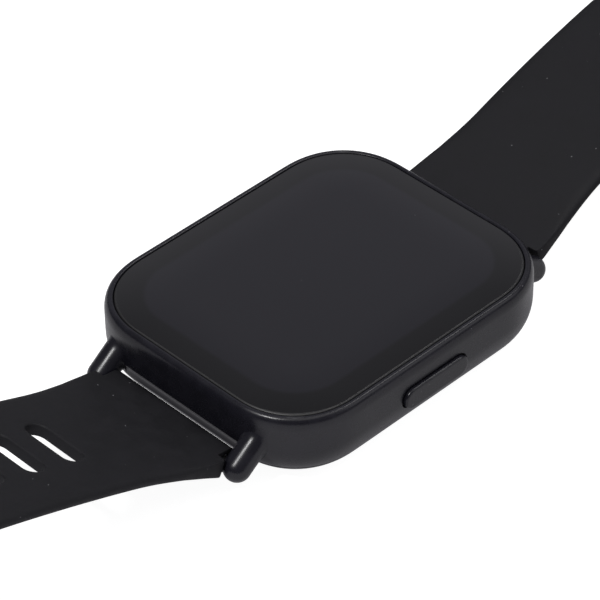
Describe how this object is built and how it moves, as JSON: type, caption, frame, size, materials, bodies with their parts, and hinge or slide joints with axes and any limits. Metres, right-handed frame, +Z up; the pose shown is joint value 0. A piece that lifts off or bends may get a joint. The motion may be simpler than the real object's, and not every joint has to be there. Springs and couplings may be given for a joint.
{
  "type": "smartwatch",
  "caption": "Square wrist smartwatch with domed dark glass, side button, round lugs and a slotted soft strap with a pin buckle.",
  "frame": {"origin": "middle of the sensor window's flat face under the case, which the case rests on", "axes": "+X towards the side button, +Y towards twelve o'clock (the buckle half of the strap), +Z up out of the display"},
  "size_m": [0.0409, 0.2533, 0.0224],
  "materials": {
    "case_plastic": "satin moulded charcoal plastic",
    "dark_glass": "polished black-backed glass",
    "silicone": "matt soft-touch silicone",
    "steel": "turned bright steel",
    "black_steel": "satin black coated steel",
    "gold": "gold plated",
    "circuit_board": "green solder mask",
    "flex_film": "amber polyimide film",
    "foil": "bare pressed aluminium",
    "foam": "black adhesive foam",
    "chip_black": "moulded epoxy",
    "clear_resin": "clear moulded resin"
  },
  "bodies": {
    "case": {"case_frame": "case_plastic", "cover_glass": "dark_glass", "glass_adhesive": "foam", "display_panel": "chip_black", "display_flex": "flex_film", "display_bracket": "foil", "main_board": "circuit_board", "processor_chip": "chip_black", "memory_chip": "chip_black", "shield_can": "foil", "board_screw_1": "steel", "board_screw_2": "steel", "battery": "foil", "battery_flex": "flex_film", "antenna_strip": "gold", "motor_case": "steel", "button_seal": "silicone", "switch_body": "chip_black", "button_flex": "flex_film", "back_cover": "case_plastic", "back_gasket": "silicone", "sensor_window": "dark_glass", "sensor_baffle": "foam", "sensor_board": "circuit_board", "green_led_1": "clear_resin", "green_led_2": "clear_resin", "photodiode_1": "chip_black", "photodiode_2": "chip_black", "charge_contact_1": "gold", "charge_contact_2": "gold", "charge_magnet_1": "steel", "charge_magnet_2": "steel"},
    "button": {"side_button": "case_plastic", "button_clip": "steel", "switch_plunger": "clear_resin"},
    "rotor": {"motor_shaft": "steel", "motor_weight": "black_steel"},
    "lower_root": {"lower_strap_1": "silicone", "lower_bar_tube": "steel", "lower_bar_spring": "steel", "lower_bar_fixed_tip": "steel"},
    "lower_release": {"lower_bar_release_tip": "steel"},
    "lower_band_2": {"lower_strap_2": "silicone"},
    "lower_band_3": {"lower_strap_3": "silicone"},
    "lower_band_4": {"lower_strap_4": "silicone"},
    "lower_band_5": {"lower_strap_5": "silicone"},
    "upper_root": {"upper_strap_1": "silicone", "upper_bar_tube": "steel", "upper_bar_spring": "steel", "upper_bar_fixed_tip": "steel"},
    "upper_release": {"upper_bar_release_tip": "steel"},
    "upper_band_2": {"upper_strap_2": "silicone"},
    "upper_band_3": {"upper_strap_3": "silicone"},
    "upper_band_4": {"upper_strap_4": "silicone", "fixed_keeper": "silicone"},
    "buckle": {"buckle_frame": "black_steel", "buckle_pin": "steel"},
    "tongue": {"buckle_tongue": "black_steel"},
    "keeper": {"sliding_keeper": "silicone"}
  },
  "joints": [
    {"name": "button_press", "type": "slide", "parent": "case", "child": "button", "axis": [-1, 0, 0], "range_m": [0, 0.00035], "stiffness_N_per_m": 300, "springref_m": -0.0001},
    {"name": "motor_spin", "type": "hinge", "parent": "case", "child": "rotor", "pos_m": [-0.0125, -0.0135, 0.0056], "axis": [0, 1, 0], "continuous": true},
    {"name": "lower_strap_swing", "type": "hinge", "parent": "case", "child": "lower_root", "pos_m": [0, -0.0267, 0.00398], "axis": [1, 0, 0], "range_deg": [-40, 86]},
    {"name": "lower_bar_release", "type": "slide", "parent": "lower_root", "child": "lower_release", "axis": [1, 0, 0], "range_m": [0, 0.0013], "stiffness_N_per_m": 200, "springref_m": -0.0005, "deforming": ["lower_bar_spring"]},
    {"name": "lower_curl_1", "type": "hinge", "parent": "lower_root", "child": "lower_band_2", "pos_m": [0, -0.04826, 0.0117], "axis": [1, 0, 0], "range_deg": [-4, 22], "stiffness_Nm_per_rad": 0.05},
    {"name": "lower_curl_2", "type": "hinge", "parent": "lower_band_2", "child": "lower_band_3", "pos_m": [0, -0.06634, 0.01796], "axis": [1, 0, 0], "range_deg": [-4, 22], "stiffness_Nm_per_rad": 0.05},
    {"name": "lower_curl_3", "type": "hinge", "parent": "lower_band_3", "child": "lower_band_4", "pos_m": [0, -0.09136, 0.02052], "axis": [1, 0, 0], "range_deg": [-4, 22], "stiffness_Nm_per_rad": 0.05},
    {"name": "lower_curl_4", "type": "hinge", "parent": "lower_band_4", "child": "lower_band_5", "pos_m": [0, -0.11567, 0.01407], "axis": [1, 0, 0], "range_deg": [-4, 22], "stiffness_Nm_per_rad": 0.05},
    {"name": "upper_strap_swing", "type": "hinge", "parent": "case", "child": "upper_root", "pos_m": [0, 0.0267, 0.00398], "axis": [-1, 0, 0], "range_deg": [-40, 86]},
    {"name": "upper_bar_release", "type": "slide", "parent": "upper_root", "child": "upper_release", "axis": [-1, 0, 0], "range_m": [0, 0.0013], "stiffness_N_per_m": 200, "springref_m": -0.0005, "deforming": ["upper_bar_spring"]},
    {"name": "upper_curl_1", "type": "hinge", "parent": "upper_root", "child": "upper_band_2", "pos_m": [0, 0.04574, 0.01009], "axis": [-1, 0, 0], "range_deg": [-4, 30], "stiffness_Nm_per_rad": 0.05},
    {"name": "upper_curl_2", "type": "hinge", "parent": "upper_band_2", "child": "upper_band_3", "pos_m": [0, 0.06296, 0.01503], "axis": [-1, 0, 0], "range_deg": [-4, 30], "stiffness_Nm_per_rad": 0.05},
    {"name": "upper_curl_3", "type": "hinge", "parent": "upper_band_3", "child": "upper_band_4", "pos_m": [0, 0.08053, 0.01591], "axis": [-1, 0, 0], "range_deg": [-4, 30], "stiffness_Nm_per_rad": 0.05},
    {"name": "buckle_swing", "type": "hinge", "parent": "upper_band_4", "child": "buckle", "pos_m": [0, 0.10668, 0.00495], "axis": [-1, 0, 0], "range_deg": [-35, 70]},
    {"name": "tongue_swing", "type": "hinge", "parent": "buckle", "child": "tongue", "pos_m": [0, 0.10668, 0.00495], "axis": [1, 0, 0], "range_deg": [0, 75]},
    {"name": "keeper_slide", "type": "slide", "parent": "upper_band_4", "child": "keeper", "axis": [0, 0.9571, -0.2898], "range_m": [-0.004, 0.004]}
  ],
  "couplings": [
    {"joint": "lower_curl_2", "follows": "lower_curl_1", "ratio": 1},
    {"joint": "lower_curl_3", "follows": "lower_curl_1", "ratio": 1},
    {"joint": "lower_curl_4", "follows": "lower_curl_1", "ratio": 1},
    {"joint": "upper_curl_2", "follows": "upper_curl_1", "ratio": 1},
    {"joint": "upper_curl_3", "follows": "upper_curl_1", "ratio": 1}
  ]
}
